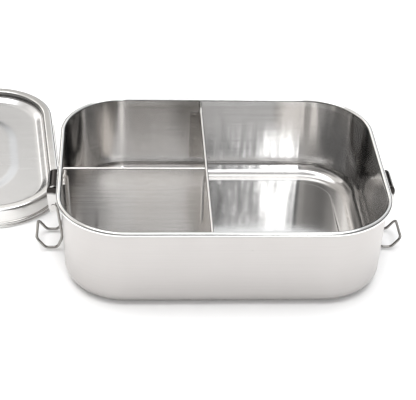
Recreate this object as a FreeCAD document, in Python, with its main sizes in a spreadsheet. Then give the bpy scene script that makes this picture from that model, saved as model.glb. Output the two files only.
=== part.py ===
import FreeCAD, Part
import math
import os
import re
import Sketcher

# Three-compartment steel lunch box with a clip-down lid, open, its lid lying beside it.
# Millimetres, +Z up.  The origin is the centre of the box's foot ring on the table;
# +X runs along the long side and -Y is the front.

Vector = FreeCAD.Vector
LEFT, RIGHT = -1, 1
TINY = 1e-4

# Driving dimensions: alias, millimetres or degrees, what it is.
DIMENSIONS = (
    ("inner_length", 200, "mouth of the box, left to right"),
    ("inner_depth", 158, "mouth of the box, front to back"),
    ("box_height", 57, "table to the top of the rolled rim"),
    ("mouth_corner", 40, "plan radius of the mouth's corners"),
    ("sheet", 0.6, "steel sheet of box and lid"),
    ("wall_lean", 2.2, "how far the wall leans out from base to rim"),
    ("base_fillet", 10, "outside radius between wall and base"),
    ("rim_bead", 3.3, "diameter of the rolled rim"),
    ("panel_inset", 18, "wall to the raised floor panel"),
    ("panel_rise", 2, "height of the pressed floor panel"),
    ("divider_sheet", 0.8, "sheet of the dividers"),
    ("divider_x", -9.5, "plane of the long divider"),
    ("divider_y", -2.5, "plane of the short divider"),
    ("divider_top", 53, "top of the dividers' hems"),
    ("hem_width", 2, "folded top edge of a divider"),
    ("hem_depth", 5, "height of the folded edge"),
    ("fold_round", 1.8, "inside radius where a divider turns into its flange"),
    ("weld_gap", 0.02, "play left at a welded face"),
    ("clip_y", -7, "middle of the clips, along the short sides"),
    ("pivot_u", 106.4, "lever pin, out from the middle of the box"),
    ("pivot_z", 32.3, "lever pin, above the table"),
    ("pin_radius", 1, "lever pin"),
    ("eye_u", 104.2, "bail's pivot, out from the middle of the box"),
    ("eye_z", 34.5, "bail's pivot, above the table"),
    ("wire", 1.8, "diameter of the bail's wire"),
    ("running_gap", 0.05, "radial play of a turning joint"),
    ("lever_width", 18, "outside width of a lever"),
    ("lever_sheet", 0.8, "sheet of levers and brackets"),
    ("bail_width", 20.8, "middle to middle of a bail's arms"),
    ("lid_height", 14, "table to the crown of the lid"),
    ("lid_play", 0.5, "gap between rim and lid skirt"),
    ("crown_width", 6.5, "width of the lid's raised border"),
    ("lid_panel", 7.6, "top of the lid's sunken panel"),
    ("plateau_rise", 0.8, "height of the pressed plateau"),
    ("plateau_inset", 29.5, "skirt to the pressed plateau"),
    ("plateau_corner", 38, "plan radius of the plateau's corners"),
    ("lid_x", -214, "middle of the lid as it lies"),
    ("lid_y", 84, "middle of the lid as it lies"),
    ("lid_turn", 6, "turn of the lid as it lies, degrees"),
)

# Lengths worked out from the driving dimensions, by name.
DERIVED = {
    "half_length": "inner_length / 2",
    "half_depth": "inner_depth / 2",
    "outer_corner": "mouth_corner + sheet",
    "draft": "atan(wall_lean / box_height)",
    "floor_top": "sheet + panel_rise",
    "bead_radius": "rim_bead / 2",
    "bead_z": "box_height - bead_radius",
    "lid_offset": "rim_bead + lid_play + sheet",
    "lid_half_length": "half_length + lid_offset",
    "lid_half_depth": "half_depth + lid_offset",
    "lid_corner": "mouth_corner + lid_offset",
}

doc = FreeCAD.newDocument("LunchBox")
sheet = doc.addObject("Spreadsheet::Sheet", "Dimensions")
for row, (alias, number, meaning) in enumerate(DIMENSIONS, start=1):
    sheet.set("A%d" % row, alias)
    sheet.set("B%d" % row, str(number))
    sheet.set("C%d" % row, meaning)
    sheet.setAlias("B%d" % row, alias)
doc.recompute()

ALIASES = {alias for alias, number, meaning in DIMENSIONS}
reader = doc.addObject("App::FeaturePython", "Reader")


def expand(text):
    """Spell an expression out in cells of the sheet."""
    def spell(match):
        word = match.group(0)
        if word in DERIVED:
            return "(" + expand(DERIVED[word]) + ")"
        return "Dimensions." + word if word in ALIASES else word
    return re.sub(r"[a-z_]+", spell, str(text))


def value(text):
    """The expression's value now, as a plain number."""
    result = reader.evalExpression(expand(text))
    return float(FreeCAD.Units.Quantity(str(result)).Value)


def bind(thing, prop, text):
    thing.setExpression(prop, expand(text))


# ---- sketches

def new_body(label):
    body = doc.addObject("PartDesign::Body", label)
    body.Label = label
    return body


def new_sketch(body, name, plane, offset="0"):
    """A sketch on one of the body's own origin planes, moved along its normal."""
    sketch = body.newObject("Sketcher::SketchObject", name)
    planes = [f for f in body.Origin.OriginFeatures if f.Role == plane + "_Plane"]
    sketch.AttachmentSupport = [(planes[0], "")]
    sketch.MapMode = "FlatFace"
    bind(sketch, ".AttachmentOffset.Base.z", offset)
    return sketch


def fix_point(sketch, geometry, point, x, y):
    """Tie a point to the sketch's origin by two bound distances."""
    for kind, text in (("DistanceX", x), ("DistanceY", y)):
        index = sketch.addConstraint(
            Sketcher.Constraint(kind, -1, 1, geometry, point, value(text)))
        bind(sketch, "Constraints[%d]" % index, text)


def outline(body, name, plane, offset, corners):
    """A closed outline.  Each corner is (x, y) or (x, y, radius of the arc to the next
    corner), where a positive radius bulges to the right of the way round."""
    sketch = new_sketch(body, name, plane, offset)
    ends = []
    for number, corner in enumerate(corners):
        following = corners[(number + 1) % len(corners)]
        start = Vector(value(corner[0]), value(corner[1]), 0)
        end = Vector(value(following[0]), value(following[1]), 0)
        if len(corner) == 2:
            index = sketch.addGeometry(Part.LineSegment(start, end))
            ends.append((index, 1, 2))
            continue
        radius = value(corner[2])
        chord = end - start
        left = Vector(-chord.y, chord.x, 0).normalize()
        height = math.sqrt(max(radius ** 2 - chord.Length ** 2 / 4, 0))
        centre = (start + end) * 0.5 + left * math.copysign(height, radius)
        first, last = (start, end) if radius > 0 else (end, start)
        angles = [math.atan2(p.y - centre.y, p.x - centre.x) for p in (first, last)]
        circle = Part.Circle(centre, Vector(0, 0, 1), abs(radius))
        index = sketch.addGeometry(Part.ArcOfCircle(circle, angles[0], angles[1]))
        ends.append((index, 1, 2) if radius > 0 else (index, 2, 1))
        limit = sketch.addConstraint(Sketcher.Constraint("Radius", index, abs(radius)))
        bind(sketch, "Constraints[%d]" % limit, "abs(%s)" % corner[2])
    for number, (index, start, end) in enumerate(ends):
        following = ends[(number + 1) % len(ends)]
        sketch.addConstraint(
            Sketcher.Constraint("Coincident", index, end, following[0], following[1]))
        fix_point(sketch, index, start, corners[number][0], corners[number][1])
    return sketch


def rounded_corners(half_x, half_y, corner):
    """Corners of a rounded rectangle, beginning at the middle of its right side."""
    corners = [(half_x, "0")]
    for side_x, side_y in ((1, 1), (-1, 1), (-1, -1), (1, -1)):
        along_x = ("%d * (%s - (%s))" % (side_x, half_x, corner), "%d * (%s)" % (side_y, half_y))
        along_y = ("%d * (%s)" % (side_x, half_x), "%d * (%s - (%s))" % (side_y, half_y, corner))
        first, second = (along_y, along_x) if side_x == side_y else (along_x, along_y)
        corners += [first + (corner,), second]
    return corners


def rounded_rectangle(body, name, z, half_x, half_y, corner):
    return outline(body, name, "XY", z, rounded_corners(half_x, half_y, corner))


def circle(body, name, plane, offset, x, y, radius):
    sketch = new_sketch(body, name, plane, offset)
    index = sketch.addGeometry(
        Part.Circle(Vector(value(x), value(y), 0), Vector(0, 0, 1), value(radius)))
    limit = sketch.addConstraint(Sketcher.Constraint("Radius", index, value(radius)))
    bind(sketch, "Constraints[%d]" % limit, radius)
    fix_point(sketch, index, 3, x, y)
    return sketch


# ---- features

def pad(body, name, sketch, length, symmetric=False, reverse=False, taper=None):
    feature = body.newObject("PartDesign::Pad", name)
    feature.Profile = sketch
    bind(feature, "Length", length)
    feature.SideType = "Symmetric" if symmetric else "One side"
    feature.Reversed = reverse
    if taper:
        bind(feature, "TaperAngle", taper)
    doc.recompute()
    return feature


def pocket(body, name, sketch, length, symmetric=False, reverse=False, taper=None):
    """A pocket that must take something away."""
    before = body.Shape.Volume
    feature = body.newObject("PartDesign::Pocket", name)
    feature.Profile = sketch
    bind(feature, "Length", length)
    feature.SideType = "Symmetric" if symmetric else "One side"
    feature.Reversed = reverse
    if taper:
        bind(feature, "TaperAngle", taper)
    doc.recompute()
    if not body.Shape.Volume < before - TINY:
        raise RuntimeError("%s cuts nothing" % name)
    return feature


def sweep(body, name, profile, spine):
    feature = body.newObject("PartDesign::AdditivePipe", name)
    feature.Profile = profile
    feature.Spine = (spine, [])
    doc.recompute()
    return feature


def edges_where(shape, test):
    """Names of the edges all of whose sampled points pass the test."""
    names = []
    for number, edge in enumerate(shape.Edges, start=1):
        points = edge.discretize(5)
        if all(test(point) for point in points):
            names.append("Edge%d" % number)
    return names


def fillet(body, name, radius, test):
    base = body.Tip
    feature = body.newObject("PartDesign::Fillet", name)
    feature.Base = (base, edges_where(base.Shape, test))
    bind(feature, "Radius", radius)
    doc.recompute()
    return feature


def at_height(z, inside=None):
    """Test for points at height z, kept to |x| < inside when that is given."""
    def test(point):
        return abs(point.z - z) < TINY and (inside is None or abs(point.x) < inside)
    return test


# ---- the box

def wall_out(z):
    """How far the outside of a short wall stands out at height z."""
    return "(half_length + sheet - wall_lean * (1 - (%s) / box_height))" % z


def wall_in(half, z):
    """How far the inside of a wall stands out at height z, less the weld gap."""
    return "(%s - weld_gap - wall_lean * (1 - (%s) / box_height))" % (half, z)


def make_box_shell():
    body = new_body("box_shell")
    pad(body, "Block", rounded_rectangle(
        body, "BlockPlan", "0", "half_length + sheet - wall_lean",
        "half_depth + sheet - wall_lean", "outer_corner - wall_lean"),
        "bead_z", taper="draft")
    pocket(body, "Cavity", rounded_rectangle(
        body, "CavityPlan", "bead_z", "half_length - wall_lean * bead_radius / box_height",
        "half_depth - wall_lean * bead_radius / box_height",
        "mouth_corner - wall_lean * bead_radius / box_height"),
        "bead_z - sheet", taper="-draft")
    fillet(body, "FloorRound", "base_fillet - sheet", at_height(value("sheet")))
    fillet(body, "BaseRound", "base_fillet", at_height(0))
    inset = "(wall_lean + panel_inset)"
    pad(body, "Panel", rounded_rectangle(
        body, "PanelPlan", "0", "half_length - " + inset, "half_depth - " + inset,
        "mouth_corner - " + inset), "floor_top")
    fillet(body, "PanelRound", "sheet", at_height(value("floor_top")))
    pocket(body, "PanelUnder", rounded_rectangle(
        body, "PanelUnderPlan", "0", "half_length - sheet - " + inset,
        "half_depth - sheet - " + inset, "mouth_corner - sheet - " + inset),
        "panel_rise", reverse=True)
    spine = rounded_rectangle(body, "RimLine", "bead_z", "half_length + bead_radius",
                              "half_depth + bead_radius", "mouth_corner + bead_radius")
    bead = circle(body, "RimSection", "XZ", "0", "half_length + bead_radius", "bead_z",
                  "bead_radius")
    sweep(body, "RolledRim", bead, spine)
    return body


# ---- the dividers.  The ends of their plates are functions of height.

def back_wall(z):
    return wall_in("half_depth", z)


def front_wall(z):
    return "-" + wall_in("half_depth", z)


def left_wall(z):
    return "-" + wall_in("half_length", z)


def beside_plate(z):
    return "(divider_x - divider_sheet / 2 - weld_gap)"


def beside_hem(z):
    return "(divider_x - hem_width / 2 - weld_gap)"


def round_folds(body, on_plate, on_flange, high):
    """Round the folds between a divider's plate and its flanges."""
    low = value("floor_top + base_fillet")
    fillet(body, "Folds", "fold_round",
           lambda p: low <= p.z < value(high) and on_plate(p) and on_flange(p))


def divider_outline(body, name, plane, offset, ends, low, high):
    """A plate between two ends; each end is (function of height, side)."""
    corners = []
    for where, side in ends:
        heights = (low, high) if side > 0 else (high, low)
        corners += [(where(z), z) for z in heights]
    return outline(body, name, plane, offset, corners)


def divider_plate(body, plane, offset, ends):
    """A sheet standing on the floor.  An end is (reach at a height, side, edge of the
    floor panel): at a wall the foot drops into the channel round the panel and follows
    the round of the base; where the panel's edge is None the end is square."""
    floor = "floor_top + weld_gap"
    low = "sheet + weld_gap"
    shoulder = "base_fillet + weld_gap"
    top = "divider_top - 0.6"
    round_off = "base_fillet - sheet"
    corners = []
    for where, side, panel_edge in ends:
        rise = [(where(shoulder), shoulder), (where(top), top)]
        if panel_edge is None:
            end = [(where(floor), floor), (where(top), top)]
        else:
            step = "%s + %g" % (panel_edge, 0.4 * side)
            end = [(step, floor), (step, low),
                   ("%s - %d * (%s)" % (where(shoulder), side, round_off), low)] + rise
        if side < 0:
            end.reverse()
        if panel_edge is not None:
            bend = 2 if side > 0 else 1
            end[bend] += (round_off,)
        corners += end
    pad(body, "Plate", outline(body, "PlateOutline", plane, offset, corners),
        "divider_sheet", symmetric=True)


def make_long_divider():
    body = new_body("long_divider")
    panel_edge = "(half_depth - wall_lean - panel_inset)"
    divider_plate(body, "YZ", "divider_x",
                  ((back_wall, 1, panel_edge), (front_wall, -1, "-" + panel_edge)))
    ends = ((back_wall, 1), (front_wall, -1))
    low = "divider_top - hem_depth"
    pad(body, "Hem", divider_outline(body, "HemOutline", "YZ", "divider_x", ends, low,
                                     "divider_top"), "hem_width", symmetric=True)
    fillet(body, "HemRound", "0.45 * hem_width",
           lambda p: abs(p.z - value("divider_top")) < TINY
           and abs(abs(p.x - value("divider_x")) - value("hem_width / 2")) < TINY)
    flange_low = "floor_top + base_fillet"
    high = low + " - 1"
    for name, where, side in (("BackFlange", back_wall, 1), ("FrontFlange", front_wall, -1)):
        inset = " - %d * divider_sheet" % side
        corners = [(where(flange_low) + inset, flange_low), (where(flange_low), flange_low),
                   (where(high), high), (where(high) + inset, high)]
        if side < 0:
            corners.reverse()
        pad(body, name, outline(body, name + "Outline", "YZ", "divider_x - 3.3", corners),
            "7.4", symmetric=True)
        for number in range(4):
            height = "%s + %g" % (flange_low, 4.5 + 9.5 * number)
            dimple(body, "%sWeld%d" % (name, number), "divider_x - 4.2",
                   "%s - %d * (divider_sheet + 2.75)" % (where(height), side), height)
    face = value("divider_x - divider_sheet / 2")
    round_folds(body, lambda p: abs(p.x - face) < TINY,
                lambda p: abs(abs(p.y) - value(back_wall(p.z) + " - divider_sheet")) < 0.01,
                low)
    return body


def dimple(body, name, x, y, z):
    """A spot weld: the shallow print of a round electrode."""
    ball = body.newObject("PartDesign::SubtractiveSphere", name)
    ball.Radius = 3
    for axis, text in (("x", x), ("y", y), ("z", z)):
        bind(ball, ".Placement.Base." + axis, text)
    doc.recompute()


def make_short_divider():
    body = new_body("short_divider")
    panel_edge = "-(half_length - wall_lean - panel_inset)"
    divider_plate(body, "XZ", "-divider_y",
                  ((beside_plate, 1, None), (left_wall, -1, panel_edge)))
    low = "divider_top - hem_depth"
    # The plate stops short of the long divider's hem, and the folded edge butts against it.
    notch = outline(body, "NotchOutline", "XZ", "-divider_y", [
        (beside_hem(0), low + " - weld_gap"), ("divider_x + 1", low + " - weld_gap"),
        ("divider_x + 1", "divider_top + 1"), (beside_hem(0), "divider_top + 1")])
    pocket(body, "Notch", notch, "2", symmetric=True)
    pad(body, "Hem", divider_outline(body, "HemOutline", "XZ", "-divider_y",
                                     ((beside_hem, 1), (left_wall, -1)), low, "divider_top"),
        "hem_width", symmetric=True)
    fillet(body, "HemRound", "0.45 * hem_width",
           lambda p: abs(p.z - value("divider_top")) < TINY
           and abs(abs(p.y - value("divider_y")) - value("hem_width / 2")) < TINY)
    flange_low = "floor_top + base_fillet"
    high = low + " - 1"
    inset = " + divider_sheet"
    corners = [(left_wall(flange_low), flange_low), (left_wall(flange_low) + inset, flange_low),
               (left_wall(high) + inset, high), (left_wall(high), high)]
    pad(body, "WallFlange", outline(body, "WallFlangeOutline", "XZ", "-divider_y + 5.1",
                                    corners), "11", symmetric=True)
    inset = " - divider_sheet"
    corners = [(beside_plate(0) + inset, flange_low), (beside_plate(0), flange_low),
               (beside_plate(0), high), (beside_plate(0) + inset, high)]
    pad(body, "MiddleFlange", outline(body, "MiddleFlangeOutline", "XZ", "-divider_y + 3.3",
                                      corners), "7.4", symmetric=True)
    face = value("divider_y - divider_sheet / 2")
    middle = value(beside_plate(0) + inset)
    round_folds(body, lambda p: abs(p.y - face) < TINY,
                lambda p: abs(p.x - middle) < TINY
                or abs(p.x - value(left_wall(p.z) + " + divider_sheet")) < 0.01, low)
    return body


# ---- the clips.  u is measured outwards from the middle of the box, on either side.

def out(side, text):
    return "%d * (%s)" % (side, text)


def side_outline(body, name, side, offset, corners):
    """An outline given in (u, z), mirrored for the left side."""
    turned = []
    for number, corner in enumerate(corners):
        radius = (corner[2],) if len(corner) == 3 else ()
        turned.append((out(side, corner[0]), corner[1]) + radius)
    if side == LEFT:
        radii = [corner[2:] for corner in turned]
        points = [corner[:2] for corner in turned][::-1]
        shifted = radii[::-1][1:] + radii[::-1][:1]
        turned = [point + radius for point, radius in zip(points, shifted)]
    return outline(body, name, "XZ", offset, turned)


def make_bracket(side, word):
    """Pressed bracket spot-welded to the short wall: a plate and two ears."""
    body = new_body("clip_bracket_" + word)
    half_width = "(lever_width / 2 - 3 * lever_sheet)"
    base = [(wall_out("23"), "23"), (wall_out("23") + " + lever_sheet", "23"),
            (wall_out("42") + " + lever_sheet", "42"), (wall_out("42"), "42")]
    pad(body, "BasePlate", side_outline(body, "BaseOutline", side, "-clip_y", base),
        "2 * " + half_width, symmetric=True)
    ear = [(wall_out("28") + " + 0.2", "28"), ("pivot_u", "pivot_z - 2.4", "2.4"),
           ("pivot_u", "pivot_z + 2.4"), (wall_out("40.5") + " + 0.2", "40.5")]
    for name, step in (("FrontEar", 1), ("BackEar", -1)):
        offset = "-clip_y + %d * (%s - lever_sheet / 2)" % (step, half_width)
        pad(body, name, side_outline(body, name + "Outline", side, offset, ear),
            "lever_sheet", symmetric=True)
    bore = circle(body, "PinHole", "XZ", "-clip_y", out(side, "pivot_u"), "pivot_z",
                  "pin_radius + weld_gap")
    pocket(body, "PinBore", bore, "lever_width * 2", symmetric=True)
    return body


def make_pin(side, word):
    """Rivet pin with a low head on each end."""
    body = new_body("pivot_pin_" + word)
    half_span = "(lever_width / 2 + 0.45)"
    shank = circle(body, "ShankSection", "XZ", "-clip_y", out(side, "pivot_u"), "pivot_z",
                   "pin_radius")
    pad(body, "Shank", shank, "2 * " + half_span, symmetric=True)
    for name, step in (("FrontHead", 1), ("BackHead", -1)):
        head = circle(body, name + "Section", "XZ", "-clip_y + %d * (%s - 0.2)" % (step, half_span),
                      out(side, "pivot_u"), "pivot_z", "pin_radius + 0.6")
        pad(body, name, head, "0.4", symmetric=True)
    return body


def make_lever(side, word):
    """Channel-shaped lever: back plate curled over into a finger lip, and two cheeks."""
    body = new_body("clip_lever_" + word)
    plate = [("109.9", "37"), ("110.2", "44", "5"), ("105.2", "49"), ("104", "49"),
             ("104", "49 - lever_sheet"), ("105.2", "49 - lever_sheet", "-(5 - lever_sheet)"),
             ("110.2 - lever_sheet", "44"), ("109.9 - lever_sheet", "37")]
    pad(body, "BackPlate", side_outline(body, "PlateOutline", side, "-clip_y", plate),
        "lever_width", symmetric=True)
    cheek = [("104.2", "28.6"), ("102.2", "31"), ("102", "36"), ("103.6", "41"),
             ("104.8", "46.2"), ("109.6", "46.2"), ("109.9", "37"), ("109.2", "30.6"),
             ("107.6", "28.2")]
    for name, step in (("FrontCheek", 1), ("BackCheek", -1)):
        offset = "-clip_y + %d * (lever_width / 2 - lever_sheet / 2)" % step
        pad(body, name, side_outline(body, name + "Outline", side, offset, cheek[::-1]),
            "lever_sheet", symmetric=True)
    for name, u, z, radius in (("PinHole", "pivot_u", "pivot_z", "pin_radius + running_gap"),
                               ("BailHole", "eye_u", "eye_z", "wire / 2 + running_gap")):
        bore = circle(body, name, "XZ", "-clip_y", out(side, u), z, radius)
        pocket(body, name + "Cut", bore, "lever_width * 2", symmetric=True)
    return body


def bent_line(points, radii):
    """A line through the points, with a round bend at each point between the ends."""
    edges = []
    start = points[0]
    for before, corner, after, radius in zip(points, points[1:], points[2:], radii):
        back = (before - corner).normalize()
        ahead = (after - corner).normalize()
        half_angle = back.getAngle(ahead) / 2
        reach = radius / math.tan(half_angle)
        first, last = corner + back * reach, corner + ahead * reach
        middle = (back + ahead).normalize()
        centre = corner + middle * (radius / math.sin(half_angle))
        edges.append(Part.LineSegment(start, first).toShape())
        edges.append(Part.Arc(first, centre - middle * radius, last).toShape())
        start = last
    edges.append(Part.LineSegment(start, points[-1]).toShape())
    return Part.Wire(edges)


def make_bail(side, word):
    """Wire bail.  Its line bends in three dimensions, so it is swept in code."""
    eye = (value("eye_u"), value("eye_z"))
    arm = (eye, (101.0, 10.0), (104.6, 1.9), (112.0, 1.9), (117.6, 9.0))
    middle = value("clip_y")
    reach = value("bail_width") / 2
    inside = value("lever_width / 2 - 2")
    points = [Vector(side * eye[0], middle - inside, eye[1])]
    points += [Vector(side * u, middle - reach, z) for u, z in arm]
    points += [Vector(side * u, middle + reach, z) for u, z in arm[::-1]]
    points.append(Vector(side * eye[0], middle + inside, eye[1]))
    foot, bow, tip = 1.6, 3.6, 2.6
    line = bent_line(points, (foot, 12, bow, bow, tip, tip, bow, bow, 12, foot))
    section = Part.Wire(Part.Circle(points[0], Vector(0, 1, 0), value("wire") / 2).toShape())
    bail = doc.addObject("Part::Feature", "wire_bail_" + word)
    bail.Label = "wire_bail_" + word
    bail.Shape = line.makePipeShell([section], True, False)
    return bail


# ---- the lid, built round its own middle and then laid beside the box

def lid_ring(body, name, z, inset):
    return rounded_rectangle(body, name, z, "lid_half_length - (%s)" % inset,
                             "lid_half_depth - (%s)" % inset, "lid_corner - (%s)" % inset)


def make_lid_shell():
    body = new_body("lid_shell")
    edge = "lid_half_length"
    ledge = "(lid_height - 4.2)"
    inner = edge + " - crown_width"
    section = [
        (edge, "0"),
        (edge, "lid_height - 2", "2"),
        (edge + " - 2", "lid_height"),
        (inner + " + 1.2", "lid_height", "1.2"),
        (inner, "lid_height - 1.2"),
        (inner, ledge),
        (inner + " - 1.5", ledge),
        (inner + " - 5.5", "lid_panel"),
        (inner + " - 8", "lid_panel"),
        (inner + " - 8", "lid_panel - sheet"),
        (inner + " - 5.3", "lid_panel - sheet"),
        (inner + " - 1.3", ledge + " - sheet"),
        (inner + " + sheet", ledge + " - sheet"),
        (inner + " + sheet", "lid_height - 1.2", "-0.6"),
        (inner + " + 1.2", "lid_height - sheet"),
        (edge + " - 2", "lid_height - sheet", "-(2 - sheet)"),
        (edge + " - sheet", "lid_height - 2"),
        (edge + " - sheet", "0")]
    border = outline(body, "BorderSection", "XZ", "0", section)
    sweep(body, "Border", border, lid_ring(body, "BorderLine", "0", "0"))
    pad(body, "Panel", lid_ring(body, "PanelPlan", "lid_panel - sheet", "crown_width + 7.5"),
        "sheet")
    plateau = ("lid_half_length - plateau_inset", "lid_half_depth - plateau_inset",
               "plateau_corner")
    pad(body, "Plateau", rounded_rectangle(body, "PlateauPlan", "lid_panel - sheet", *plateau),
        "sheet + plateau_rise")
    fillet(body, "PlateauRound", "0.6", at_height(value("lid_panel + plateau_rise"),
                                                  value("lid_half_length - plateau_inset + 1")))
    under = [text + " - sheet" for text in plateau]
    pocket(body, "PlateauUnder", rounded_rectangle(body, "PlateauUnderPlan",
                                                   "lid_panel - sheet", *under),
           "plateau_rise", reverse=True)
    for name, height in (("LowerBead", "1.05"), ("UpperBead", "3.25")):
        bead = circle(body, name + "Section", "XZ", "0", edge + " + 0.25", height, "1.05")
        sweep(body, name, bead, lid_ring(body, name + "Line", height, "-0.25"))
    return body


def make_lid_seal():
    """Silicone ring pressed into the channel under the lid's crown."""
    body = new_body("lid_seal")
    top = "lid_height - sheet - weld_gap"
    outer, inner = "lid_half_length - 1.8", "lid_half_length - 5.2"
    section = [
        (outer, "lid_height - 2.6"),
        (outer, top),
        (inner, top),
        (inner, "lid_height - 3"),
        (inner + " + 0.8", "lid_height - 3"),
        (inner + " + 1.1", "lid_height - 1.9"),
        (outer + " - 0.9", "lid_height - 1.9"),
        (outer + " - 0.6", "lid_height - 2.6")]
    ring = outline(body, "RingSection", "XZ", "0", section)
    sweep(body, "Ring", ring, lid_ring(body, "RingLine", "lid_height - 3", "3"))
    return body


parts = [make_box_shell(), make_long_divider(), make_short_divider()]
for side, word in ((LEFT, "left"), (RIGHT, "right")):
    parts += [make_bracket(side, word), make_pin(side, word), make_lever(side, word),
              make_bail(side, word)]

for lid_part in (make_lid_shell(), make_lid_seal()):
    bind(lid_part, ".Placement.Base.x", "lid_x")
    bind(lid_part, ".Placement.Base.y", "lid_y")
    lid_part.Placement.Rotation = FreeCAD.Rotation(Vector(0, 0, 1), value("lid_turn"))
    parts.append(lid_part)

doc.recompute()

for thing in doc.Objects:
    if "Invalid" in thing.State or "Error" in thing.State:
        raise RuntimeError("%s: %s" % (thing.Label, thing.State))

os.makedirs("parts", exist_ok=True)
for part in parts:
    shape = part.Shape
    if shape.isNull() or not shape.isValid() or not shape.Solids:
        raise RuntimeError("%s has no valid solid" % part.Label)
    box = shape.BoundBox
    print("%-20s %d solid(s) %9.1f mm3  x %.1f..%.1f  y %.1f..%.1f  z %.2f..%.2f" % (
        part.Label, len(shape.Solids), shape.Volume, box.XMin, box.XMax, box.YMin, box.YMax,
        box.ZMin, box.ZMax))
    shape.exportStep("parts/%s.step" % part.Label)
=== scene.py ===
import math

import bmesh
import bpy
from mathutils import Matrix, Vector


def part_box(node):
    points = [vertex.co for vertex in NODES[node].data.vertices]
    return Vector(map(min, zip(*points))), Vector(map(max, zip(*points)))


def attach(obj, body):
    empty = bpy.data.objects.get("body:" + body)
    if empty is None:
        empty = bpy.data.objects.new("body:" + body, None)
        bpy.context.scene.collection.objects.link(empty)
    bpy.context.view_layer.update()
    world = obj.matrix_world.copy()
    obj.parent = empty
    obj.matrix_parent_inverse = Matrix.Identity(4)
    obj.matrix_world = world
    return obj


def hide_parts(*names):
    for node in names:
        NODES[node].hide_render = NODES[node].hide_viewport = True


# Looks of the steel lunch box.  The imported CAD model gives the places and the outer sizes.
# Its two pressed shells are drawn again here in finer steps, from the insets and radii below.
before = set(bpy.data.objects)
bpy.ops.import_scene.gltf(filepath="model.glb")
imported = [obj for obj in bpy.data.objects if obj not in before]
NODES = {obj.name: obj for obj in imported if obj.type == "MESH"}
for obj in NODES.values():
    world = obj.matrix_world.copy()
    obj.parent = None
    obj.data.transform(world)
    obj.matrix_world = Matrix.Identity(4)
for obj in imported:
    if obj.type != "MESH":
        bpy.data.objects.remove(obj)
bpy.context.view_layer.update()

MM = 0.001
box_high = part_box("box_shell")[1]
lid_low, lid_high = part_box("lid_shell")

# Box, in millimetres.  An inset is measured inwards from the inside of the mouth.
SHEET = 0.6
BEAD = 1.65
MOUTH_CORNER = 40.0
LEAN = 2.2
BASE_ROUND = 10.0
PANEL_INSET = 20.2
PANEL_RISE = 2.0
FOOT_ROUND = 0.4
PANEL_ROUND = 0.7
BOX_HEIGHT = box_high.z / MM
MOUTH = (box_high.x / MM - 2 * BEAD, box_high.y / MM - 2 * BEAD, MOUTH_CORNER)
WALL_TILT = math.atan(LEAN / BOX_HEIGHT)

# Lid, in millimetres.  An inset is measured inwards from the outside of the skirt.
LID_PLAY = 0.5
LID_HEIGHT = lid_high.z / MM
LID_TURN = math.radians(6)
LID_CENTRE = (lid_low + lid_high) / 2
LID_EDGE = tuple(size + 2 * BEAD + LID_PLAY + SHEET for size in MOUTH)
CROWN = 6.5
CROWN_ROUND = 1.2
SKIRT_ROUND = 2.0
SKIRT_BEAD = 1.05
BEAD_INSET = -0.25
SEAT_DROP = 4.2
LID_PANEL = 7.6
PLATEAU_RISE = 0.8
PLATEAU_INSET = 29.5
PLATEAU_CORNER = 38.0


# ---- meshes

def rounded_ring(half_x, half_y, corner, z, arc_steps=22, side_steps=20):
    """Points round a rounded rectangle, anticlockwise from its +X side."""
    centres = [Vector((sign_x * (half_x - corner), sign_y * (half_y - corner), z))
               for sign_x, sign_y in ((1, 1), (-1, 1), (-1, -1), (1, -1))]

    def on_corner(number, turns):
        """The point on a corner's arc that many quarter turns from +X."""
        angle = math.pi / 2 * turns
        return centres[number % 4] + corner * Vector((math.cos(angle), math.sin(angle), 0))

    points = []
    for quarter in range(4):
        points += [on_corner(quarter, quarter + step / arc_steps)
                   for step in range(arc_steps + 1)]
        start = points[-1]
        end = on_corner(quarter + 1, quarter + 1)
        points += [start.lerp(end, step / side_steps) for step in range(1, side_steps)]
    return points


def arc(centre_inset, centre_z, radius, start, end, steps):
    """Profile points round an arc; angle 0 points outwards and 90 upwards."""
    made = []
    for step in range(steps + 1):
        angle = math.radians(start + (end - start) * step / steps)
        made.append((centre_inset - radius * math.cos(angle), centre_z + radius * math.sin(angle)))
    return made


def straight(start, end, steps):
    """Profile points from start to end, without the two ends."""
    return [tuple(a + (b - a) * step / steps for a, b in zip(start, end))
            for step in range(1, steps)]


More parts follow.
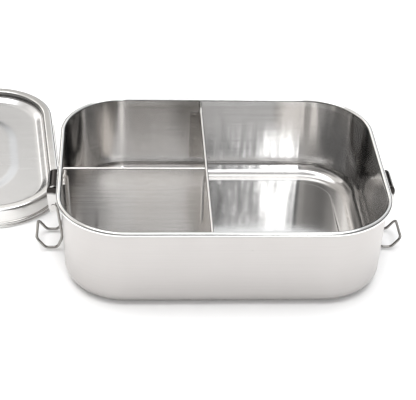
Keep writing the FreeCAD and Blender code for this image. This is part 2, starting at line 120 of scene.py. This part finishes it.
def loft(name, edge, bands, materials):
    """A closed pressed sheet: one ring of the rounded rectangle for each profile point.
    edge is the rectangle's half sizes and corner radius.  bands lists the section in order,
    as (material number, profile points); a profile point is (inset, z) or (inset, z, corner
    radius), and its material starts there."""
    profile = [point for finish, points in bands for point in points]
    finishes = [finish for finish, points in bands for point in points]
    mesh = bpy.data.meshes.new(name)
    shape = bmesh.new()
    uv_layer = shape.loops.layers.uv.new("UVMap")
    rings = []
    for point in profile:
        inset, z = point[:2]
        corner = point[2] if len(point) > 2 else edge[2] - inset
        ring = rounded_ring(edge[0] - inset, edge[1] - inset, corner, z)
        rings.append([shape.verts.new(p * MM) for p in ring])
    count = len(rings[0])
    travelled = 0.0
    for number, (low, high) in enumerate(zip(rings, rings[1:])):
        step = (high[0].co - low[0].co).length
        around = 0.0
        for index in range(count):
            following = (index + 1) % count
            width = (low[following].co - low[index].co).length
            face = shape.faces.new(
                (low[index], low[following], high[following], high[index]))
            face.material_index = finishes[number]
            face.smooth = True
            corners = ((around, travelled), (around + width, travelled),
                       (around + width, travelled + step), (around, travelled + step))
            for loop, uv in zip(face.loops, corners):
                loop[uv_layer].uv = uv
            around += width
        travelled += step
    for ring, finish in ((rings[0][::-1], finishes[0]), (rings[-1], finishes[-1])):
        face = shape.faces.new(ring)
        face.material_index = finish
        for loop in face.loops:
            loop[uv_layer].uv = loop.vert.co.xy
    bmesh.ops.recalc_face_normals(shape, faces=shape.faces)
    shape.to_mesh(mesh)
    shape.free()
    mesh.set_sharp_from_angle(angle=math.radians(40))
    for material in materials:
        mesh.materials.append(material)
    piece = bpy.data.objects.new(name, mesh)
    bpy.context.scene.collection.objects.link(piece)
    return piece


def wall_inset(z):
    """How far the leaning wall's inside stands in from the mouth at a height."""
    return LEAN * (1 - z / BOX_HEIGHT)


def build_box_shell(materials):
    """The drawn shell: underside, foot ring, outer wall, rolled rim, inner wall, floor."""
    outside, rim, inside, floor, painted_rim_shade = range(5)
    tilt = math.degrees(WALL_TILT)
    reach = BASE_ROUND / math.tan(math.radians(90 + tilt) / 2)
    round_inset = LEAN - SHEET + reach
    bead_z = BOX_HEIGHT - BEAD
    wall_end = bead_z - 1.2
    under = PANEL_INSET + SHEET
    floor_z = SHEET + PANEL_RISE
    bands = (
        (outside, [(under + 1.5, PANEL_RISE), (under + 0.5, PANEL_RISE)]),
        (outside, arc(under + 0.1, PANEL_RISE - FOOT_ROUND, FOOT_ROUND, 90, 0, 4)),
        (outside, arc(under - 0.7, FOOT_ROUND, FOOT_ROUND, 180, 270, 4)),
        (outside, straight((under - 0.7, 0), (round_inset, 0), 6)),
        (outside, arc(round_inset, BASE_ROUND, BASE_ROUND, -90, -tilt, 18)),
        (outside, straight((wall_inset(BASE_ROUND) - SHEET, BASE_ROUND),
                           (wall_inset(wall_end) - SHEET, wall_end), 12)),
        # The underside of the rolled bead takes a near-black steel: painted shade under the rim.
        (painted_rim_shade, arc(-BEAD, bead_z, BEAD, -134, -40, 8)),
        (rim, arc(-BEAD, bead_z, BEAD, -36, 180, 22)),
        (inside, straight((wall_inset(bead_z), bead_z),
                          (wall_inset(BASE_ROUND), BASE_ROUND), 14)),
        (inside, arc(round_inset, BASE_ROUND, BASE_ROUND - SHEET, -tilt, -90, 22)),
        (floor, straight((round_inset, SHEET), (PANEL_INSET - 0.6, SHEET), 6)),
        (floor, [(PANEL_INSET - 0.5, SHEET), (PANEL_INSET - 0.2, SHEET + 0.12),
                 (PANEL_INSET, SHEET + 0.5)]),
        (floor, arc(PANEL_INSET + PANEL_ROUND, floor_z - PANEL_ROUND, PANEL_ROUND, 0, 90, 6)),
        (floor, [(PANEL_INSET + 1.6, floor_z), (PANEL_INSET + 4, floor_z)]),
    )
    return loft("box_body", MOUTH, bands, materials)


def build_lid_shell(materials):
    """The pressed lid: beaded skirt, crown, seat, panel and soft-edged plateau."""
    skirt, crown, shaded_drop, panel = range(4)
    top = LID_HEIGHT
    shoulder = top - SKIRT_ROUND
    inner = CROWN - CROWN_ROUND
    seat = top - SEAT_DROP
    plateau = LID_PANEL + PLATEAU_RISE
    middle = (PLATEAU_INSET + 8, plateau, PLATEAU_CORNER - 8)

    def soft_step(base, direction):
        """The wide, soft edge of the plateau, from outside in or back."""
        made = []
        for step in range(13)[::direction]:
            along = step / 12
            rise = along * along * (3 - 2 * along)
            inset = PLATEAU_INSET - 4 + 8 * along
            made.append((inset, base + PLATEAU_RISE * rise, PLATEAU_CORNER + 4 - 8 * along))
        return made

    bands = (
        (panel, [(middle[0], plateau - SHEET, middle[2])]),
        (panel, soft_step(LID_PANEL - SHEET, -1)),
        (panel, [(CROWN + 9, LID_PANEL - SHEET), (CROWN + 5.3, LID_PANEL - SHEET)]),
        # The crown's inner wall, underside here, takes a darker copy of the lid steel: painted
        # shade.
        (shaded_drop, [(CROWN + 1.3, seat - SHEET), (CROWN - SHEET + 0.5, seat - SHEET),
                (CROWN - SHEET, seat - SHEET + 0.5)]),
        (shaded_drop, arc(inner, top - CROWN_ROUND, CROWN_ROUND - SHEET, 180, 90, 5)),
        (skirt, arc(SKIRT_ROUND, shoulder, SKIRT_ROUND - SHEET, 90, 0, 8)),
        (skirt, straight((SHEET, shoulder), (SHEET, 0.6), 3)),
        (skirt, [(SHEET, 0.3), (SHEET + BEAD_INSET, 0.02)]),
        (skirt, arc(BEAD_INSET, SKIRT_BEAD, SKIRT_BEAD, -90, 78, 14)),
        (skirt, arc(BEAD_INSET, 3.25, SKIRT_BEAD, -78, 100, 14)),
        (skirt, [(0, 4.5)]),
        (skirt, straight((0, 4.5), (0, shoulder), 5)),
        (crown, arc(SKIRT_ROUND, shoulder, SKIRT_ROUND, 0, 90, 10)),
        (crown, straight((SKIRT_ROUND, top), (inner, top), 4)),
        (crown, arc(inner, top - CROWN_ROUND, CROWN_ROUND, 90, 180, 8)),
        # The crown's inner wall, top face, takes the same darker copy of the lid steel: painted
        # shade.
        (shaded_drop, straight((CROWN, top - CROWN_ROUND), (CROWN, seat + 0.5), 3)),
        (shaded_drop, [(CROWN, seat + 0.5), (CROWN + 0.15, seat + 0.15), (CROWN + 0.5, seat)]),
        (panel, [(CROWN + 1.2, seat), (CROWN + 1.7, seat - 0.1)]),
        (panel, straight((CROWN + 1.7, seat - 0.1), (CROWN + 5.3, LID_PANEL + 0.1), 4)),
        (panel, [(CROWN + 5.3, LID_PANEL + 0.1), (CROWN + 5.8, LID_PANEL),
                 (CROWN + 9, LID_PANEL)]),
        (panel, soft_step(LID_PANEL, 1)),
        (panel, [middle]),
    )
    piece = loft("lid_body", LID_EDGE, bands, materials)
    piece.data.transform(Matrix.Translation((LID_CENTRE.x, LID_CENTRE.y, 0))
                         @ Matrix.Rotation(LID_TURN, 4, "Z"))
    return piece


# ---- materials

class Nodes:
    """The node tree of a material or of the world, written as short calls.  A socket is
    given a value or another node's output."""

    def __init__(self, owner):
        owner.use_nodes = True
        self.tree = owner.node_tree

    def give(self, socket, given):
        if isinstance(given, bpy.types.NodeSocket):
            self.tree.links.new(given, socket)
        else:
            socket.default_value = given

    def add(self, kind, *given, properties=None, **named):
        """A node with its properties set, its first sockets given in order, and others
        by name, with _ for a space."""
        node = self.tree.nodes.new("ShaderNode" + kind)
        for key, value in (properties or {}).items():
            setattr(node, key, value)
        for socket, value in zip(node.inputs, given):
            self.give(socket, value)
        for key, value in named.items():
            self.give(node.inputs[key.replace("_", " ")], value)
        return node

    def shade(self, **named):
        """Give sockets of the material's shader."""
        shader = self.tree.nodes["Principled BSDF"]
        for key, value in named.items():
            self.give(shader.inputs[key.replace("_", " ")], value)

    def maths(self, operation, *given):
        return self.add("Math", *given, properties={"operation": operation}).outputs[0]

    def vector_maths(self, operation, *given, **named):
        made = self.add("VectorMath", *given, properties={"operation": operation}, **named)
        return made.outputs[0]

    def mix(self, factor, low, high, way="MIX"):
        """One colour, or coloured socket, to another."""
        low, high = (given if isinstance(given, bpy.types.NodeSocket) else (*given, 1)
                     for given in (low, high))
        made = self.add("Mix", properties={"data_type": "RGBA", "blend_type": way},
                        Factor=factor, A=low, B=high)
        return made.outputs["Result"]

    def ramp(self, factor, stops):
        """A smooth run of colours over the factor."""
        node = self.add("ValToRGB", factor)
        node.color_ramp.interpolation = "EASE"
        elements = node.color_ramp.elements
        while len(elements) > 1:
            elements.remove(elements[-1])
        for number, (place, colour) in enumerate(stops):
            element = elements[0] if number == 0 else elements.new(place)
            element.position = place
            element.color = (*colour, 1)
        return node.outputs["Color"]

    def greys(self, factor, stops):
        """A smooth run of brightnesses over the factor."""
        return self.ramp(factor, [(place, (level,) * 3) for place, level in stops])

    def place(self):
        return self.add("TexCoord").outputs["Object"]

    def noise(self, fineness, detail, roughness=0.5):
        """Noise over the piece, with its fineness along X, Y and Z."""
        vector = self.add("Mapping", Vector=self.place(), Scale=fineness).outputs["Vector"]
        return self.add("TexNoise", Vector=vector, Scale=1.0, Detail=detail,
                        Roughness=roughness).outputs["Fac"]

    def between(self, factor, low, high, start=0.3, end=0.7):
        """low to high as the factor runs from start to end."""
        return self.add("MapRange", Value=factor, From_Min=start, From_Max=end,
                        To_Min=low, To_Max=high).outputs["Result"]

    def bump(self, height, strength, distance, **under):
        """A bumped normal, over the one given as Normal if there is one."""
        return self.add("Bump", Height=height, Strength=strength, Distance=distance,
                        **under).outputs["Normal"]

    def level_tangent(self):
        """A tangent that lies level along every wall, and along X on level faces."""
        normal = self.add("NewGeometry").outputs["Normal"]
        cross = self.vector_maths("CROSS_PRODUCT", normal, (0, 0, 1))
        return self.vector_maths("NORMALIZE", self.vector_maths("ADD", cross, (0.02, 0, 0)))


# Fineness of the noises in the steel, along X, Y and Z, and how uneven the edge of a darkened end
# is.
WALL_LINES = (14, 14, 900)
FLAT_LINES = (14, 900, 14)
SHEET_WAVE = (62, 62, 15)
HANDLING = (60, 60, 45)
DARK_END_CLOUD = 0.002


def darken_ends(nodes, colour, cloud, axis, start, full, shade):
    """The colour with a shade that grows towards both ends of an axis of the piece, from
    start to full in metres from its middle, with a cloudy edge."""
    along = nodes.add("SeparateXYZ", nodes.place()).outputs[axis]
    edge = nodes.maths("MULTIPLY_ADD", cloud, 2 * DARK_END_CLOUD, nodes.maths("ABSOLUTE", along))
    return nodes.mix(nodes.between(edge, 0, 1, start + DARK_END_CLOUD, full + DARK_END_CLOUD),
                     colour, shade)


def steel(name, tint, rough, wave, grain, brushed=0.0, smears=0.04, dark_ends=None, flat=False):
    """Polished or brushed stainless sheet: level polishing lines, a slight unevenness of
    the sheet, and smears where it has been handled.  brushed is how far the lines stretch
    its reflections.  An optional darkening towards both ends of the piece is given as its
    axis, start, full and darker colour; on the levers it is a painted dark reflection.
    flat lays the polishing lines along X on a level sheet."""
    material = bpy.data.materials.new(name)
    nodes = Nodes(material)
    lines = nodes.noise(FLAT_LINES if flat else WALL_LINES, 4.0, 0.65)
    smear = nodes.noise(HANDLING, 4.0, 0.6)
    dark = tuple(channel * 0.93 for channel in tint)
    colour = nodes.mix(nodes.between(lines, 0, 1), dark, tint)
    if dark_ends:
        colour = darken_ends(nodes, colour, smear, *dark_ends)
    wear = nodes.maths("ADD", nodes.between(lines, rough * 0.8, rough * 1.25),
                       nodes.between(smear, 0, smears, 0.45, 0.75))
    waved = nodes.bump(nodes.noise(SHEET_WAVE, 2.0), wave, 0.004)
    nodes.shade(Metallic=1.0, Base_Color=colour, Roughness=wear, Anisotropic=brushed,
                Anisotropic_Rotation=0.25, Tangent=nodes.level_tangent(),
                Normal=nodes.bump(lines, grain, 0.0001, Normal=waved))
    return material


def silicone():
    material = bpy.data.materials.new("silicone")
    nodes = Nodes(material)
    cloud = nodes.noise((90, 90, 90), 3.0)
    nodes.shade(Base_Color=nodes.mix(cloud, (0.72, 0.74, 0.74), (0.82, 0.83, 0.82)),
                Roughness=nodes.between(cloud, 0.45, 0.6), Subsurface_Weight=0.25,
                Subsurface_Radius=(0.002, 0.002, 0.002),
                Normal=nodes.bump(nodes.noise((900, 900, 900), 2.0), 0.15, 0.0002))
    return material


def table():
    material = bpy.data.materials.new("table")
    Nodes(material).shade(Base_Color=(0.93, 0.93, 0.93, 1), Roughness=0.9,
                          Specular_IOR_Level=0.1)
    return material


# ---- the object's pieces

satin = steel("satin_outside", (0.54, 0.522, 0.511), rough=0.34, wave=0.01, grain=0.03,
              brushed=0.3)
bright = steel("bright_rim", (0.80, 0.80, 0.79), rough=0.13, wave=0.02, grain=0.05)
polished = steel("polished_inside", (0.75, 0.74, 0.73), rough=0.12, wave=0.045, grain=0.025,
                 brushed=0.75, smears=0.02)
floor_steel = steel("polished_floor", (0.76, 0.76, 0.76), rough=0.10, wave=0.014, grain=0.02,
                    brushed=0.5, smears=0.02, flat=True)
# Near-black copy of the box steel for the underside of the rim: painted shade.
painted_shade_rim_steel = steel("rim_painted_shade", (0.16, 0.155, 0.15), rough=0.3, wave=0.01, grain=0.05)
divider_steel = steel("polished_divider", (0.92, 0.90, 0.88), rough=0.20, wave=0.03,
                      grain=0.012, brushed=0.5, smears=0.03)
# The long divider is darker towards both ends, from about 75 mm either side of the middle.
welded_steel = steel("welded_divider", (0.75, 0.735, 0.72), rough=0.15, wave=0.04, grain=0.02,
                     brushed=0.5, smears=0.03, dark_ends=(1, 0.0745, 0.0785, (0.42, 0.405, 0.39)))
bracket_steel = steel("bracket_steel", (0.60, 0.585, 0.57), rough=0.14, wave=0.02, grain=0.05)
# The lever steel turns near-black on the curled lip, from about 41 mm up: painted dark reflection.
lever_steel = steel("lever_steel", (0.62, 0.61, 0.60), rough=0.12, wave=0.02, grain=0.04,
                    dark_ends=(2, 0.0405, 0.0425, (0.035, 0.032, 0.03)))
wire_steel = steel("wire_steel", (0.34, 0.33, 0.315), rough=0.16, wave=0.01, grain=0.04)
lid_skirt = steel("lid_skirt", (0.70, 0.69, 0.675), rough=0.16, wave=0.03, grain=0.05,
                  brushed=0.3)
# Darker copy of the lid steel for the crown's inner wall: painted shade.
painted_shade_lid_wall = steel("painted_shade_lid_wall", (0.42, 0.415, 0.41), rough=0.2, wave=0.03, grain=0.05,
                 brushed=0.3)
lid_satin = steel("lid_satin", (0.71, 0.713, 0.715), rough=0.22, wave=0.02, grain=0.004,
                  brushed=0.2, smears=0.02, flat=True)

box_piece = build_box_shell((satin, bright, polished, floor_steel, painted_shade_rim_steel))
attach(box_piece, "box")
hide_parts("box_shell")

lid_piece = build_lid_shell((lid_skirt, bright, painted_shade_lid_wall, lid_satin))
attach(lid_piece, "lid")
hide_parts("lid_shell")


def finish_cad(node, material):
    """Give a CAD node its material."""
    part = NODES[node]
    part.data.materials.clear()
    part.data.materials.append(material)


finish_cad("long_divider", welded_steel)
finish_cad("short_divider", divider_steel)
for word in ("left", "right"):
    finish_cad("clip_bracket_" + word, bracket_steel)
    finish_cad("pivot_pin_" + word, bracket_steel)
    finish_cad("clip_lever_" + word, lever_steel)
    finish_cad("wire_bail_" + word, wire_steel)
finish_cad("lid_seal", silicone())


# ---- table, light and camera

def add_table(half):
    """A square table top about the origin."""
    mesh = bpy.data.meshes.new("table_top")
    corners = ((-half, -half, 0), (half, -half, 0), (half, half, 0), (-half, half, 0))
    mesh.from_pydata(corners, [], [(0, 1, 2, 3)])
    mesh.materials.append(table())
    plane = bpy.data.objects.new("table_top", mesh)
    bpy.context.scene.collection.objects.link(plane)


def soft_box(name, place, width, height, power):
    """A rectangular lamp that points at the box."""
    light = bpy.data.lights.new(name, "AREA")
    light.shape = "RECTANGLE"
    light.size = width
    light.size_y = height
    light.energy = power
    lamp = bpy.data.objects.new(name, light)
    lamp.location = place
    bpy.context.scene.collection.objects.link(lamp)
    lamp.rotation_euler = (-lamp.location).to_track_quat("-Z", "Y").to_euler()
    return lamp


def at(degrees):
    """Where an azimuth lies on a ramp that runs once round the room."""
    return 0.5 + degrees / 360


def build_room():
    """The room that the steel mirrors: a dark skirting, three storeys of grey walls, one
    tall bright window in front, right of the middle, and a ceiling whose bright ring has a
    dim middle."""
    world = bpy.data.worlds.new("studio")
    bpy.context.scene.world = world
    nodes = Nodes(world)
    axes = nodes.add("SeparateXYZ", nodes.add("TexCoord").outputs["Generated"]).outputs
    height = axes["Z"]
    azimuth = nodes.maths("ARCTAN2", axes["X"], nodes.maths("MULTIPLY", axes["Y"], -1.0))
    around = nodes.maths("MULTIPLY_ADD", azimuth, 0.5 / math.pi, 0.5)

    def round_the_room(stops, place=around):
        return nodes.greys(place, [(at(degrees), level) for degrees, level in stops])

    def above(start, full, lower, upper):
        """lower gives way to upper between two heights."""
        return nodes.mix(nodes.greys(height, ((start, 0), (full, 1))), lower, upper)

    upper_walls = above(*HIGH_STOREY, round_the_room(ROOM_MIDDLE), round_the_room(ROOM_HIGH))
    walls = above(*MIDDLE_STOREY, round_the_room(ROOM_LOW), upper_walls)
    warmth = nodes.ramp(around, [(at(degrees), colour) for degrees, colour in WARMTH])
    for layer in (warmth, nodes.greys(height, SKIRTING)):
        walls = nodes.vector_maths("MULTIPLY", walls, layer)
    room = above(*CEILING_EDGE, walls, nodes.greys(height, CEILING))
    slanted = nodes.maths("ADD", around, nodes.maths("MULTIPLY_ADD", height, -WINDOW_SLANT,
                                                     WINDOW_SLANT * WINDOW_MIDDLE))
    window = nodes.vector_maths("MULTIPLY", round_the_room(WINDOW, slanted),
                                nodes.greys(height, WINDOW_HEIGHT))
    shine = nodes.vector_maths("SCALE", window, Scale=WINDOW_STRENGTH)
    background = nodes.tree.nodes["Background"]
    nodes.give(background.inputs["Color"], nodes.mix(1.0, room, shine, "ADD"))


# Brightness of the walls round the room, by degrees from the front towards +X: low down,
# in the middle and high up.
ROOM_LOW = ((-180, 0.75), (-176, 0.6), (-172, 0.7), (-164, 2.0), (-136, 2.0), (-130, 0.7),
            (-95, 0.9), (-75, 0.5), (-40, 0.35), (-20, 0.42), (0, 0.66), (2, 0.6), (4.2, 0.15),
            (5.6, 0.15), (6.8, 1.7), (10, 1.9), (14, 1.9), (22, 1.5), (34, 0.25), (85, 0.22),
            (127, 0.5), (150, 1.1), (170, 1.25), (177, 0.9), (180, 0.85))
ROOM_MIDDLE = ((-180, 1.25), (-150, 1.0), (-115, 1.5), (-98, 0.9), (-75, 0.35), (-50, 0.2),
               (-20, 0.3), (-2, 0.5), (4, 0.12), (7, 0.4), (12, 0.8), (25, 0.4), (75, 0.4),
               (130, 0.65), (160, 1.05), (180, 1.25))
ROOM_HIGH = ((-180, 0.8), (-80, 0.9), (-40, 0.3), (0, 0.45), (5, 0.2), (7, 0.25), (9, 1.7),
             (16, 1.7), (22, 0.5), (90, 0.5), (140, 0.8), (180, 0.8))

# Tint of the walls by degrees: a little warm on the left and cool on the right.
WARMTH = ((-4, (1, 0.97, 0.94)), (6, (0.985, 0.99, 1)))

# A height in the room is the sine of the angle above level.  A storey and the ceiling fade
# in between two heights; the skirting and the ceiling are brightness by height.
MIDDLE_STOREY = (0.52, 0.55)
HIGH_STOREY = (0.66, 0.72)
CEILING_EDGE = (0.84, 0.89)
SKIRTING = ((0.28, 0.07), (0.39, 1))
CEILING = ((0.86, 0.95), (0.89, 2.8), (0.965, 2.8), (0.984, 0.6))

# The window, by degrees and by height.  Its slant is in turns round the room for each unit
# of height, about its middle.
WINDOW = ((6.2, 0), (6.6, 0.16), (7.0, 0.06), (7.5, 1.0), (10.3, 1.0), (11.6, 0))
WINDOW_HEIGHT = ((0.3, 0), (0.4, 1), (0.66, 1), (0.72, 0))
WINDOW_SLANT = 0.008
WINDOW_MIDDLE = 0.6
WINDOW_STRENGTH = 3.4

add_table(half=6)
build_room()
overhead = soft_box("overhead", (0, 0.4, 2.6), width=3.0, height=3.0, power=60)
overhead.visible_glossy = False
fill = soft_box("front_fill", (0, -1.6, 0.9), width=1.6, height=1.0, power=10)
fill.visible_glossy = False

# The camera's lens in millimetres and place in metres, and its turns in radians: to the
# right, down, and anticlockwise.
LENS = 119.06
CAMERA_PLACE = (-0.06202, -0.74275, 0.5153)
YAW, PITCH, ROLL = 0.073197, 0.580595, 0.040258
camera_data = bpy.data.cameras.new("camera")
camera_data.lens = LENS
camera_data.sensor_width = 36
camera = bpy.data.objects.new("camera", camera_data)
bpy.context.scene.collection.objects.link(camera)
bpy.context.scene.camera = camera
forward = Vector((math.sin(YAW) * math.cos(PITCH), math.cos(YAW) * math.cos(PITCH),
                  -math.sin(PITCH)))
level = Vector((math.cos(YAW), -math.sin(YAW), 0))
upright = level.cross(forward)
right = level * math.cos(ROLL) + upright * math.sin(ROLL)
up = upright * math.cos(ROLL) - level * math.sin(ROLL)
turn = Matrix((right, up, -forward)).transposed().to_4x4()
camera.matrix_world = Matrix.Translation(CAMERA_PLACE) @ turn

bpy.context.scene.view_settings.view_transform = "Standard"
